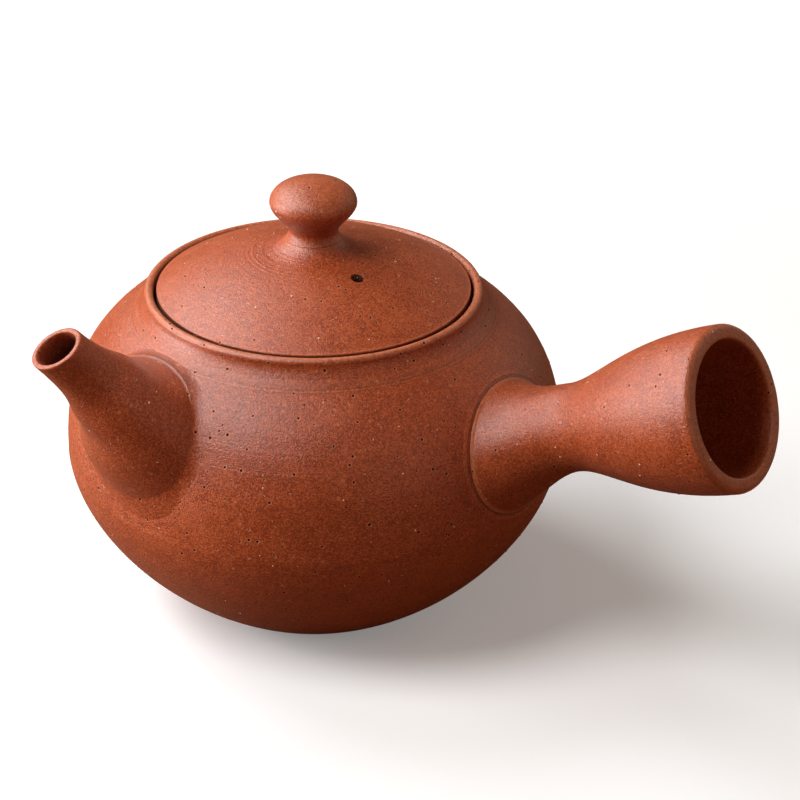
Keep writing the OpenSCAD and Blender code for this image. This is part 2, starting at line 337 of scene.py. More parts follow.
def makeWheelTree():
    tree = bpy.data.node_groups.new("wheelTurned", "GeometryNodeTree")
    addSockets(tree, {"Profile": "Geometry", "Segments": "Int", "Line Depth": "Float", "Line Step": "Float",
                      "Seed": "Float", "Clay": "Material"})
    t = Tree(tree)
    given = t.add("NodeGroupInput").outputs
    profile = given["Profile"]
    size = t.add("GeometryNodeAttributeDomainSize", {"component": "MESH"}, Geometry=profile)
    rows = size.outputs["Point Count"]
    columns = t.math("ADD", given["Segments"], 1)
    grid = t.add("GeometryNodeMeshGrid", None, Size_X=1.0, Size_Y=1.0, Vertices_X=columns, Vertices_Y=rows)
    here = t.add("ShaderNodeSeparateXYZ", None, Vector=t.add("GeometryNodeInputPosition").outputs[0]).outputs
    turn = t.math("MULTIPLY", t.math("ADD", here[0], 0.5), 2 * math.pi)
    row = t.math("ROUND", t.math("MULTIPLY", t.math("ADD", here[1], 0.5), t.math("SUBTRACT", rows, 1)))

    def fromProfile(kind, value):
        onPoints = {"data_type": kind, "domain": "POINT"}
        n = t.add("GeometryNodeSampleIndex", onPoints, Geometry=profile, Value=value, Index=row)
        return n.outputs[0]

    def named(kind, name):
        return t.add("GeometryNodeInputNamedAttribute", {"data_type": kind}, Name=name).outputs[0]

    shape = grid.outputs["Mesh"]
    onPoints = {"data_type": "FLOAT", "domain": "POINT"}
    for name in ("wearAndPaintedLight", "outside", "turnPath"):
        value = fromProfile("FLOAT", named("FLOAT", name))
        keep = t.add("GeometryNodeStoreNamedAttribute", onPoints, Geometry=shape, Name=name, Value=value)
        shape = keep.outputs[0]

    def turned(vector):
        n = t.add("ShaderNodeVectorRotate", {"rotation_type": "Z_AXIS"}, Vector=vector, Angle=turn)
        return n.outputs[0]

    place = turned(fromProfile("FLOAT_VECTOR", t.add("GeometryNodeInputPosition").outputs[0]))
    facing = turned(fromProfile("FLOAT_VECTOR", named("FLOAT_VECTOR", "facing")))
    path = fromProfile("FLOAT", named("FLOAT", "turnPath"))
    raised = fromProfile("FLOAT", named("FLOAT", "outside"))
    # a slow wander round the pot keeps the lines from being perfect rings
    reach = 0.35
    wanderX = t.math("ADD", t.math("MULTIPLY", t.math("COSINE", turn), reach), given["Seed"])
    wanderY = t.math("MULTIPLY", t.math("SINE", turn), reach)
    along = t.math("DIVIDE", path, given["Line Step"])
    wander = t.add("ShaderNodeCombineXYZ", None, X=wanderX, Y=wanderY, Z=along).outputs[0]
    lines = t.add("ShaderNodeTexNoise", None, Vector=wander, Scale=1.0, Detail=2.0, Roughness=0.5)
    # only inwards, so that what is luted on is never buried
    crest = 0.72
    depth = t.math("MULTIPLY", given["Line Depth"], raised)
    lift = t.math("MINIMUM", t.math("SUBTRACT", lines.outputs["Fac"], crest), 0.0)
    lift = t.math("MULTIPLY", lift, depth)
    offset = t.add("ShaderNodeVectorMath", {"operation": "SCALE"}, Vector=facing, Scale=lift).outputs[0]
    moved = t.add("GeometryNodeSetPosition", None, Geometry=shape, Position=place, Offset=offset).outputs[0]
    closed = t.add("GeometryNodeMergeByDistance", None, Geometry=moved, Distance=weld).outputs[0]
    even = t.add("GeometryNodeSetShadeSmooth", None, Geometry=closed).outputs[0]
    real = t.add("GeometryNodeRealizeInstances", None, Geometry=even).outputs[0]
    done = t.add("GeometryNodeSetMaterial", None, Geometry=real, Material=given["Clay"]).outputs[0]
    t.add("NodeGroupOutput", None, i0=done)
    return tree


wheelTree = makeWheelTree()


def setInputs(mod, values):
    for item in mod.node_group.interface.items_tree:
        if item.item_type == "SOCKET" and item.in_out == "INPUT" and item.name in values:
            mod[item.identifier] = values[item.name]


def plainMesh(obj, name):
    # the evaluated object as a plain mesh, in place of the object that made it
    graph = bpy.context.evaluated_depsgraph_get()
    ready = obj.evaluated_get(graph)
    mesh = bpy.data.meshes.new_from_object(ready, preserve_all_data_layers=True, depsgraph=graph)
    bpy.data.objects.remove(obj)
    mesh.name = name
    return addObject(name, mesh)


def outwards(mesh):
    b = bmesh.new()
    b.from_mesh(mesh)
    bmesh.ops.remove_doubles(b, verts=b.verts, dist=weld)
    bmesh.ops.recalc_face_normals(b, faces=b.faces)
    b.to_mesh(mesh)
    b.free()
    mesh.update()


def addValues(mesh, values):
    for key, data in values.items():
        mesh.attributes.new(key, "FLOAT", "POINT").data.foreach_set("value", data)


def turnOnWheel(name, profile, material, f):
    # profile: (radius, height, wear and painted light, outside) from the middle of the underside round to the
    # middle again
    mesh = bpy.data.meshes.new(name + "Profile")
    count = len(profile)
    mesh.from_pydata([(p[0], 0, p[1]) for p in profile], [(i, i + 1) for i in range(count - 1)], [])
    path = [0.0]
    for a, b in zip(profile, profile[1:]):
        path.append(path[-1] + math.hypot(b[0] - a[0], b[1] - a[1]) / mm)
    facing = []
    for i in range(count):
        a, b = profile[max(0, i - 1)], profile[min(count - 1, i + 1)]
        along = Vector((b[0] - a[0], 0, b[1] - a[1])).normalized()
        facing += [along.z, 0, -along.x]
    addValues(mesh, {"wearAndPaintedLight": [p[2] for p in profile], "outside": [p[3] for p in profile], "turnPath": path})
    mesh.attributes.new("facing", "FLOAT_VECTOR", "POINT").data.foreach_set("vector", facing)
    obj = addObject(name + "Profile", mesh)
    mod = obj.modifiers.new("wheel", "NODES")
    mod.node_group = wheelTree
    setInputs(mod, {
        "Segments": f["segments"],
        "Line Depth": f["lineDepth"],
        "Line Step": f["lineStep"],
        "Seed": f["lineSeed"],
        "Clay": material,
    })
    made = plainMesh(obj, name)
    outwards(made.data)
    return made


def rod(place, way, radius, length, sides, rows):
    # plain round cutter centred on a point
    b = bmesh.new()
    turn = Vector((0, 0, 1)).rotation_difference(way).to_matrix()
    rings = []
    for i in range(rows + 1):
        z = length * (i / rows - 0.5)
        angles = [2 * math.pi * k / sides for k in range(sides)]
        corners = [Vector((radius * math.cos(a), radius * math.sin(a), z)) for a in angles]
        rings.append([b.verts.new(place + turn @ corner) for corner in corners])
    for low, high in zip(rings, rings[1:]):
        for k in range(sides):
            n = (k + 1) % sides
            b.faces.new((low[k], low[n], high[n], high[k]))
    b.faces.new(rings[0][::-1])
    b.faces.new(rings[-1])
    mesh = bpy.data.meshes.new("cutter")
    b.to_mesh(mesh)
    b.free()
    return addObject("cutter", mesh)


def drill(obj, place, way, radius, length, sides, rows):
    # a round hole, its wall darkened with painted shade
    way = Vector(way).normalized()
    name = obj.name
    cutter = rod(place, way, radius, length, sides, rows)
    cutter.data.materials.append([m for m in obj.data.materials if m][0])
    mod = obj.modifiers.new("drill", "BOOLEAN")
    mod.operation = "DIFFERENCE"
    mod.solver = "EXACT"
    mod.object = cutter
    obj.name = name + "Blank"
    made = plainMesh(obj, name)
    bpy.data.objects.remove(cutter)
    b = bmesh.new()
    b.from_mesh(made.data)
    wearAndPaintedLight = b.verts.layers.float["wearAndPaintedLight"]
    for v in b.verts:
        if (v.co - place).cross(way).length < radius * 1.005:
            if all(abs(face.normal.dot(way)) < 0.3 for face in v.link_faces):
                # painted shade on the hole's wall
                v[wearAndPaintedLight] = -1.0
    b.to_mesh(made.data)
    b.free()
    return made


# the pot

bodyLow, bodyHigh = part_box("body")
potForm = {
    "bellyR": (bodyHigh[0] - bodyLow[0]) / 2,
    "rimZ": bodyHigh[2],
    "bellyZ": 34 * mm,
    "footR": 26 * mm,
    "collarH": 4.8 * mm,
    "collarFoot": 1.0 * mm,
    "collarLean": 35.0,
    "band": 0.5 * mm,
    # up to the collar's foot, with two fine lines: millimetres below the foot, millimetres cut in, wear and
    # painted light (painted shade in the lines, a painted highlight beside each)
    "bandRows": (
        (1.60, 0, 0), (1.45, 0, 0), (1.36, 0.06, -0.4), (1.27, 0, 0.3), (1.10, 0, 0), (1.01, 0.06, -0.4),
        (0.92, 0, 0.3), (0.70, 0, 0.1), (0.50, 0, 0.1), (0.30, 0, 0.1), (0.15, 0, 0.1), (0.0, 0, 0.0),
    ),
    "shoulderFull": 2.48,
    "underFull": 1.66,
    "wall": 3.2 * mm,
    "floor": 4 * mm,
    "collarR": 37.35 * mm,
    "rimR": 35.3 * mm,
    "lipW": 2 * mm,
    "seatDepth": 3 * mm,
    "ledgeW": 3.8 * mm,
    "ledgeT": 3 * mm,
    "ledgeRound": 0.4 * mm,
    "segments": 304,
    "lineDepth": 0.09 * mm,
    "lineStep": 2.6,
    "lineSeed": 3.0,
}
shoulderRise = potForm["rimZ"] - potForm["collarH"] - potForm["bellyZ"]
potForm["closesUp"] = riseFor(potForm["bellyR"], potForm["collarR"], shoulderRise, potForm["shoulderFull"])
potForm["closesDown"] = riseFor(potForm["bellyR"], potForm["footR"], potForm["bellyZ"], potForm["underFull"])


def potRadius(z):
    f = potForm
    if z > f["bellyZ"]:
        k, n = (z - f["bellyZ"]) / f["closesUp"], f["shoulderFull"]
    else:
        k, n = (f["bellyZ"] - z) / f["closesDown"], f["underFull"]
    return f["bellyR"] * max(0.0, 1 - k ** n) ** (1 / n)


def potFacing(p):
    # outward direction of the pot's wall at a point on it
    f = potForm
    r = math.hypot(p.x, p.y)
    up = p.z > f["bellyZ"]
    n = f["shoulderFull"] if up else f["underFull"]
    closes = f["closesUp"] if up else f["closesDown"]
    level = (r / f["bellyR"]) ** (n - 1) / f["bellyR"]
    rise = (abs(p.z - f["bellyZ"]) / closes) ** (n - 1) / closes
    return Vector((level * p.x / r, level * p.y / r, rise if up else -rise)).normalized()


def makePot(f):
    full = f["shoulderFull"]
    seatZ = f["rimZ"] - f["seatDepth"]
    seatR = f["rimR"] - f["lipW"]
    ledgeR = seatR - f["ledgeW"]
    innerR = f["bellyR"] - f["wall"]
    underZ = seatZ - f["ledgeT"]
    ledgeFace = potFacing(Vector((potRadius(underZ), 0, underZ)))
    ledgeRoot = potRadius(underZ) - f["wall"] / ledgeFace.x
    inUp = riseFor(innerR, ledgeRoot, underZ - f["bellyZ"], full)
    inDown = riseFor(innerR, f["footR"], f["bellyZ"] - f["floor"], f["underFull"])
    down = fullRun(f["bellyR"], f["closesDown"], f["underFull"], f["bellyZ"], -1, f["bellyZ"], 90)[::-1]
    # the shoulder runs on until it is close under the lip
    footR = f["rimR"] + f["collarFoot"]
    footZ = f["bellyZ"] + f["closesUp"] * (1 - (footR / f["bellyR"]) ** full) ** (1 / full)
    up = fullRun(f["bellyR"], f["closesUp"], full, footZ - f["bellyZ"], 1, f["bellyZ"], 110)[1:]
    up = [p for p in up if p[1] < footZ - 1.7 * mm]
    points = [(f["footR"] * i / 8, 0.0, 0, 0) for i in range(8)]
    points += [(p[0], p[1], 0.4 * smooth(2 * mm, 0, p[1]), smooth(0, 6 * mm, p[1])) for p in down]
    points += [(p[0], p[1], 0, smooth(footZ - mm, footZ - 5 * mm, p[1])) for p in up]
    # it flattens into a low band, then the collar stands up to the rounded lip
    for low, deep, wearAndPaintedLight in f["bandRows"]:
        z = footZ - low * mm
        p = Vector((potRadius(z), 0, z))
        p = p + potFacing(p) * (f["band"] * smooth(1.3, 0, low) - deep * mm)
        points.append((p.x, p.z, wearAndPaintedLight, 0))
    lean = math.radians(f["collarLean"])
    half = f["lipW"] / 2
    pull = (p.x - 0.9 * mm * math.sin(lean), p.z + 0.9 * mm * math.cos(lean))
    top = (f["rimR"], f["rimZ"] - half)
    points += marked(pullCurve((p.x, p.z), pull, (top[0], top[1] - 1.1 * mm), top, 20)[1:], 0, 0.5)
    lip = arcRun((f["rimR"] - half, f["rimZ"] - half), half, 0, 180, 18)[1:]
    points += [(p[0], p[1], 0.8 * math.sin(math.pi * (i + 1) / 18) ** 2, 0) for i, p in enumerate(lip)]
    # painted shade darkens the seat and the ledge behind the lid's edge
    points += [(seatR, f["rimZ"] - half - 0.25 * mm, -0.25, 0), (seatR, f["rimZ"] - half - 0.8 * mm, -0.8, 0)]
    points += [(seatR, seatZ + 0.4 * mm, -1, 0)]
    points += [(seatR - 0.12 * mm, seatZ + 0.12 * mm, -1, 0), (seatR - 0.4 * mm, seatZ, -1, 0)]
    points += [(ledgeR + 0.5 * mm, seatZ, -0.4, 0)]
    soft = f["ledgeRound"]
    points += marked(arcRun((ledgeR + soft, seatZ - soft), soft, 90, 180, 5), 0.5, 0)
    points += marked(arcRun((ledgeR + soft, underZ + soft), soft, 180, 270, 5), 0, 0)
    inside = fullRun(innerR, inUp, full, underZ - f["bellyZ"], 1, f["bellyZ"], 24)[::-1]
    inside += fullRun(innerR, inDown, f["underFull"], f["bellyZ"] - f["floor"], -1, f["bellyZ"], 24)[1:]
    points += marked(inside, 0, 0.4)
    points += [(f["footR"] * (1 - i / 8), f["floor"], 0, 0) for i in range(1, 9)]
    return turnOnWheel("potWall", points, clayBody, f)


# spout and handle: thrown trumpets cut to the pot and luted on

spoutForm = {
    "seatAz": -100.5,
    "seatZ": 55.3 * mm,
    "skew": -14.0,
    "rise": 48.9,
    "length": 26.95 * mm,
    "baseR": 14.3 * mm,
    "basePull": 26.6 * mm,
    "tipR": 5.35 * mm,
    "tipPull": 8.6 * mm,
    "tipWall": 1.2 * mm,
    "baseWall": 3 * mm,
    "tipCut": 11.5,
    # painted shade deep inside the bore
    "boreShade": -0.85,
    "oval": 0.276,
    "drop": 0.4 * mm,
    "lean": 3.6 * mm,
    "settleFrom": -4 * mm,
    "settle": 18 * mm,
    "hollow": 2.5 * mm,
    "hollowAt": 7 * mm,
    "hollowReach": 8 * mm,
    "lowHollow": 2.2 * mm,
    "lowWay": 260.0,
    # filleted on, with a fine raised edge left along the upper right only
    "filletW": (3.4 * mm, 2.2 * mm),
    "filletH": (1.2 * mm, 1.0 * mm),
    "softWay": 248.0,
    "edgeLine": 0.08 * mm,
    "edgeFrom": 38.0,
    "edgeTo": 150.0,
    # the edge: millimetres along the spout, height as a share of edgeLine, wear and painted light (a painted
    # highlight along the raised edge, painted shade just before it)
    "edgeRows": ((-0.04, 0.0, -0.3), (0.0, 0.6, 0.2), (0.04, 1.0, 0.6), (0.08, 0.8, 0.4), (0.14, 0.2, 0.0)),
    "around": 192,
}
handleForm = {
    "seatAz": 0.0,
    "seatZ": 49.7 * mm,
    "skew": 0.0,
    "rise": 23.1,
    "length": 52.6 * mm,
    "baseR": 14.9 * mm,
    "waistR": 8.85 * mm,
    "waistT": 15.1 * mm,
    "mouthR": 16.3 * mm,
    "wall": 3 * mm,
    "tipCut": 0.0,
    "boreShade": 0.0,
    "oval": 0.20,
    "drop": 2.1 * mm,
    "lean": -1.1 * mm,
    "settleFrom": 0.0,
    "settle": 15 * mm,
    "hollow": 0.0,
    "hollowAt": 7 * mm,
    "hollowReach": 8 * mm,
    "lowHollow": 0.0,
    "lowWay": 270.0,
    # left as a crisp edge that stands on the pot
    "step": 0.36 * mm,
    "ridge": 0.10 * mm,
    # faint ring of slip with a painted highlight, and a fine line of painted shade: millimetres out from the
    # edge, height as a share of ridge, wear and painted light
    "slipRows": (
        (2.7, -2.5, 0), (2.0, 0.1, 0), (1.75, 0.5, 0), (1.5, 0.9, 0.2), (1.3, 1.0, 0.4), (1.15, 0.8, 0.1),
        (0.95, 0.3, -0.2), (0.8, 0.05, 0.0), (0.66, 0.0, -0.2), (0.56, 0.0, -0.9), (0.48, 0.05, -0.6),
    ),
    # bevel of the flare with a painted highlight: millimetres out from the edge, height as a share of step,
    # wear and painted light
    "bevelRows": ((0.42, 0.2, 0.3), (0.30, 0.5, 0.9), (0.15, 0.8, 1.0), (0.0, 0.97, 1.0)),
    # turn at which the painted highlight on the bevel is brightest
    "highlightWay": 190.0,
    "around": 224,
}


def trumpetAxis(f):
    az = math.radians(f["seatAz"])
    r = potRadius(f["seatZ"])
    seat = Vector((r * math.cos(az), r * math.sin(az), f["seatZ"]))
    turn = math.radians(f["seatAz"] + f["skew"])
    rise = math.radians(f["rise"])
    axis = Vector((math.cos(rise) * math.cos(turn), math.cos(rise) * math.sin(turn), math.sin(rise)))
    side = Vector((-math.sin(turn), math.cos(turn), 0))
    return seat, axis, side, axis.cross(side)


def radiusAlong(points, t):
    # radius of a profile of (radius, distance) points, rising in distance
    for a, b in zip(points, points[1:]):
        if t <= b[1]:
            return a[0] + (b[0] - a[0]) * (t - a[1]) / (b[1] - a[1])
    return points[-1][0]


def outsidePot(p):
    return math.hypot(p.x, p.y) - potRadius(p.z)


def bisect(test, inside, outside):
    for i in range(40):
        middle = (inside + outside) / 2
        if test(middle) > 0:
            outside = middle
        else:
            inside = middle
    return (inside + outside) / 2


def makeTrumpet(name, f, outer, inner, lip, material):
    seat, axis, side, up = trumpetAxis(f)
    tilt = math.tan(math.radians(f["tipCut"]))
    length = f["length"]
    around = f["around"]
    rows = 70
    innerRows = 40
    filletRows = 13
    sunk = 0.08 * mm  # the fillet's toe lies this far in the pot
    rings = []
    for j in range(around):
        turn = 2 * math.pi * j / around
        pressed = f["hollow"] * max(0.0, math.sin(turn)) ** 2
        pressed += f["lowHollow"] * max(0.0, math.cos(turn - math.radians(f["lowWay"]))) ** 2

        def at(r, t):
            # pressed oval, pushed over and hollowed by hand near the pot, with a slanted cut at the far end
            k = 1 - smooth(f["settleFrom"], f["settle"], t)
            r = r - pressed * math.exp(-2 * ((t - f["hollowAt"]) / f["hollowReach"]) ** 2)
            drawn = t - r * math.sin(turn) * tilt * smooth(length - 9 * mm, length, t)
            across = r * math.cos(turn) * (1 + f["oval"] * k) - f["lean"] * k
            return seat + axis * drawn + side * across + up * (r * math.sin(turn) - f["drop"] * k)

        def edgeAt(profile, lift):
            low, high = -12 * mm, 16 * mm
            return bisect(lambda d: outsidePot(at(radiusAlong(profile, d), d)) - lift, low, high)

        if "filletW" in f:
            soft = 0.5 + 0.5 * math.cos(turn - math.radians(f["softWay"]))
            wide = f["filletW"][0] + (f["filletW"][1] - f["filletW"][0]) * soft
            high = f["filletH"][0] + (f["filletH"][1] - f["filletH"][0]) * soft
        else:
            high = f["step"]
        edge = edgeAt(outer, high)
        edgeR = radiusAlong(outer, edge)
        rim = at(edgeR, edge)
        outwardWay = (at(edgeR + mm, edge) - rim).normalized()

        def onPot(reach, lift):
            start = rim + outwardWay * reach
            s = bisect(lambda d: outsidePot(start + axis * d), -9 * mm, 6 * mm)
            p = start + axis * s
            return p + potFacing(p) * lift

        ring = []
        if "filletW" in f:
            # slip smoothed out over the pot, with the fine edge where the spout's own clay ends
            degrees = math.degrees(math.atan2(math.sin(turn), math.cos(turn)))
            fade = smooth(f["edgeTo"], f["edgeTo"] - 30, degrees)
            crisp = smooth(f["edgeFrom"], f["edgeFrom"] + 24, degrees) * fade
            # painted shade over the fillet, strongest on the upper right where the spout shades the pot
            shade = -0.35 * smooth(10, 70, degrees) * fade
            line = f["edgeLine"] * crisp
            meet = edgeAt(outer, 0.0)
            corner = at(radiusAlong(outer, meet), meet)
            toe = onPot(wide, -sunk)
            ring.append((onPot(wide + 0.6 * mm, -0.3 * mm), 0, 0.0, 0.0))
            for i in range(filletRows):
                u = i / filletRows
                rounded = toe * (1 - u) ** 2 + corner * (2 * u * (1 - u)) + rim * u ** 2
                grooved = onPot(wide * (1 - u), high * u * u - sunk * (1 - u))
                ring.append((rounded.lerp(grooved, crisp), shade * u, 0.0, 1.0))
            # a painted highlight along the raised edge, with painted shade just before it
            for ahead, lift, wearAndPaintedLight in f["edgeRows"]:
                p = at(radiusAlong(outer, edge + ahead * mm), edge + ahead * mm)
                ring.append((p + outwardWay * (lift * line), wearAndPaintedLight * crisp, 0.0, 1.0))
            first = ((0.3, 0.0), (0.45, 0.0))
        else:
            # painted shade in the fine line at the edge's foot, painted highlight on the slip ring
            for reach, lift, wearAndPaintedLight in f["slipRows"]:
                ring.append((onPot(reach * mm, lift * f["ridge"]), wearAndPaintedLight, 0.0, 0.0))
            # painted highlight, brightest on the side turned towards the lamps
            rubAndHighlight = 0.4 + 0.6 * max(0.0, math.cos(turn - math.radians(f["highlightWay"])))
            for reach, lift, wearAndPaintedLight in f["bevelRows"]:
                ring.append((onPot(reach * mm, lift * high), wearAndPaintedLight * rubAndHighlight, 0.0, 0.0))
            first = ((0.1, 0.8 * rubAndHighlight), (0.25, 0.1 * rubAndHighlight))
        # the first rows past the edge stand close together, then the wall runs to the lip and back inside
        for ahead, wearAndPaintedLight in first:
            ring.append((at(radiusAlong(outer, edge + ahead * mm), edge + ahead * mm), wearAndPaintedLight, edge / mm, 1.0))
        start = edge + (first[-1][0] + 0.15) * mm
        last = outer[-1][1]
        for i in range(1, rows + 1):
            u = i / rows
            t = start + (last - start) * (0.35 * u * u + 0.65 * u)
            ring.append((at(radiusAlong(outer, t), t), 0, t / mm, 1.0))
        for r, t, wearAndPaintedLight in lip:
            ring.append((at(r, t), wearAndPaintedLight, t / mm, 0.3))
        innerMeet = edgeAt(inner, -0.3 * mm)
        for i in range(innerRows + 1):
            t = inner[-1][1] + (innerMeet - inner[-1][1]) * i / innerRows
            # painted shade, darkest more than 5 mm inside the bore
            boreShade = f["boreShade"] * smooth(0, 5 * mm, length - t)
            ring.append((at(radiusAlong(inner, t), t), boreShade, t / mm, 0.0))
        rings.append(ring)
    perRing = len(rings[0])
    points = [p for ring in rings for p in ring]
    faces = []
    for j in range(around):
        k = (j + 1) % around
        for i in range(perRing):
            n = (i + 1) % perRing
            faces.append((j * perRing + i, k * perRing + i, k * perRing + n, j * perRing + n))
    mesh = bpy.data.meshes.new(name)
    mesh.from_pydata([p[0] for p in points], [], faces)
    for place, key in ((1, "wearAndPaintedLight"), (2, "turnPath"), (3, "outside")):
        addValues(mesh, {key: [p[place] for p in points]})
    mesh.polygons.foreach_set("use_smooth", [True] * len(faces))
    mesh.materials.append(material)
    outwards(mesh)
    return addObject(name, mesh)


def flatLip(r, t, wall, soft, crisp, rubAndHighlight, steps):
    # a cut lip with softened corners, from its outer edge over to its inner edge; its top is lightened partly
    # as wear and partly as painted highlight
    points = arcRun((r - soft, t - soft), soft, 0, 90, steps)
    points += arcRun((r - wall + crisp, t - crisp), crisp, 90, 180, steps)
    return [(p[0], p[1], rubAndHighlight * smooth(t - soft, t, p[1])) for p in points]


def makeSpout(f):
    basePull = (f["baseR"] - 3.5 * mm, f["basePull"] - 8 * mm)
    tip = (f["tipR"], f["length"])
    run = pullCurve((f["baseR"], -8 * mm), basePull, (f["tipR"], f["tipPull"]), tip, 80)
    outer = [(f["baseR"] + 3 * mm, -13 * mm), (f["baseR"] + 0.6 * mm, -9 * mm)] + run
    inner = []
    for r, t in outer:
        k = max(0.0, (f["length"] - t) / (f["length"] + 9 * mm))
        inner.append((r - f["tipWall"] - (f["baseWall"] - f["tipWall"]) * k, t))
    soft = f["tipWall"] * 0.36
    outer = [p for p in outer if p[1] <= f["length"] - soft]
    inner = [p for p in inner if p[1] <= f["length"] - soft]
    lip = flatLip(f["tipR"], f["length"], f["tipWall"], soft, soft, 0.08, 5)
    return makeTrumpet("spoutTrumpet", f, outer, inner, lip, claySpout)


def makeHandle(f):
    soft = f["wall"] * 0.42
    waist = (f["waistR"], f["waistT"])
    basePull = (f["baseR"] - 3 * mm, -1 * mm)
    base = pullCurve((f["baseR"], -6 * mm), basePull, (f["waistR"], f["waistT"] - 9 * mm), waist, 60)
    mouth = (f["mouthR"], f["length"] - soft)
    mouthPull = (f["mouthR"], f["length"] - 21 * mm)
    flare = pullCurve(waist, (f["waistR"], f["waistT"] + 8 * mm), mouthPull, mouth, 70)
    outer = [(f["baseR"] + 3 * mm, -11 * mm), (f["baseR"] + 1.2 * mm, -8 * mm)] + base + flare[1:]
    inner = [(r - f["wall"], t) for r, t in outer]
    lip = flatLip(f["mouthR"], f["length"], f["wall"], soft, soft * 0.35, 0.55, 9)
    return makeTrumpet("handleTrumpet", f, outer, inner, lip, clayHandle)


# where tea is let through the wall
pourHole = {"place": (-9.63 * mm, -46.5 * mm, 54.9 * mm), "way": (-0.2516, -0.5842, 0.7716), "radius": 8 * mm}

potWall = makePot(potForm)
pourPlace = Vector(pourHole["place"]) - Vector(pourHole["way"]) * 6 * mm
potWall = drill(potWall, pourPlace, pourHole["way"], pourHole["radius"], 20 * mm, 48, 10)
spoutTrumpet = makeSpout(spoutForm)
handleTrumpet = makeHandle(handleForm)
print("pot, spout and handle thrown")


# lid and knob

lidLow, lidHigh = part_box("lid")
lidForm = {
    "edgeR": (lidHigh[0] - lidLow[0]) / 2 + 0.12 * mm,
    "bossZ": lidHigh[2],
    "foot": lidLow[2],
    "bossH": 1.7 * mm,
    "bossR": 5.8 * mm,
    "flareR": 11 * mm,
    "rise": 9.3 * mm,
    "thick": 3 * mm,
    "round": 0.3 * mm,
    "underRound": 0.4 * mm,
    "skirtH": 4.5 * mm,
    "skirtR": 29 * mm,
    "skirtT": 2.4 * mm,
    "ventR": 15.3 * mm,
    "ventAz": -18.7,
    "ventHole": 1.35 * mm,
    "segments": 448,
    "lineDepth": 0.16 * mm,
    "lineStep": 0.75,
    "lineSeed": 11.0,
}
lidForm["domeR"] = (lidForm["edgeR"] ** 2 + lidForm["rise"] ** 2) / (2 * lidForm["rise"])
lidForm["domeZ"] = lidForm["bossZ"] - lidForm["bossH"] - lidForm["domeR"]


def domeHeight(r, lowered):
    return lidForm["domeZ"] + math.sqrt((lidForm["domeR"] - lowered) ** 2 - r * r)


def makeLid(f):
    seatZ = f["foot"] + f["skirtH"]
    inner = f["skirtR"] - f["skirtT"]
    half = f["skirtT"] / 2
    under = f["underRound"]
    edge = f["edgeR"] - f["round"]
    points = [(inner * i / 24, domeHeight(inner * i / 24, f["thick"]), 0, 0.3) for i in range(25)]
    points += [(inner, f["foot"] + 0.4 * mm, 0, 0)]
    points += marked(arcRun((inner + half, f["foot"] + half), half, 180, 360, 10), 0.3, 0)
    points += [(f["skirtR"], seatZ - 0.3 * mm, 0, 0), (f["skirtR"] + 0.3 * mm, seatZ, 0, 0)]
    # painted shade on the lid's edge down in the gap, lightening over its rounded top
    points += marked(arcRun((f["edgeR"] - under, seatZ + under), under, 270, 360, 5), -1, 0)
    shoulder = arcRun((edge, domeHeight(edge, 0) - f["round"]), f["round"], 0, 78, 6)
    points += [(f["edgeR"], shoulder[0][1] - 0.1 * mm, -0.9, 0)]
    points += [(p[0], p[1], -0.5 + i / 6, 0) for i, p in enumerate(shoulder)]
    domeRows = 110
    for i in range(domeRows, -1, -1):
        r = f["flareR"] + (edge - f["flareR"]) * i / domeRows
        wearAndPaintedLight = 0.25 * smooth(0.98, 1.0, i / domeRows)
        lined = 0.26 + 0.74 * smooth(19 * mm, 12 * mm, r) ** 2  # throwing lines show most near the knob
        points.append((r, domeHeight(r, 0), wearAndPaintedLight, lined))
    middle = (f["bossR"] + f["flareR"]) / 2
    domeEnd = (f["flareR"], domeHeight(f["flareR"], 0))
    bossPull = (f["bossR"] + f["bossH"] * 0.4, f["bossZ"] - f["bossH"] * 0.8)
    boss = (f["bossR"], f["bossZ"])
    flare = pullCurve(domeEnd, (middle, domeHeight(middle, 0)), bossPull, boss, 30)[1:]
    points += [(p[0], p[1], 0.3 * smooth(0.6, 1, i / 29), 1) for i, p in enumerate(flare)]
    for inwards, low in ((0.12, 0.01), (0.3, 0.03)):
        points.append((f["bossR"] - inwards * mm, f["bossZ"] - low * mm, 0, 0))
    points += [(0, f["bossZ"] - 0.1 * mm, 0, 0)]
    return turnOnWheel("lidDome", points, clayLid, f)


knobLow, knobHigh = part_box("knob")
knobForm = {
    "wideR": (knobHigh[0] - knobLow[0]) / 2,
    "top": knobHigh[2],
    "foot": knobLow[2],
    "wideZ": 7.9 * mm,
    "neckR": 5.1 * mm,
    "neckZ": 1.6 * mm,
    "footR": 5.8 * mm,
    "segments": 224,
    "lineDepth": 0.08 * mm,
    "lineStep": 1.2,
    "lineSeed": 17.0,
}


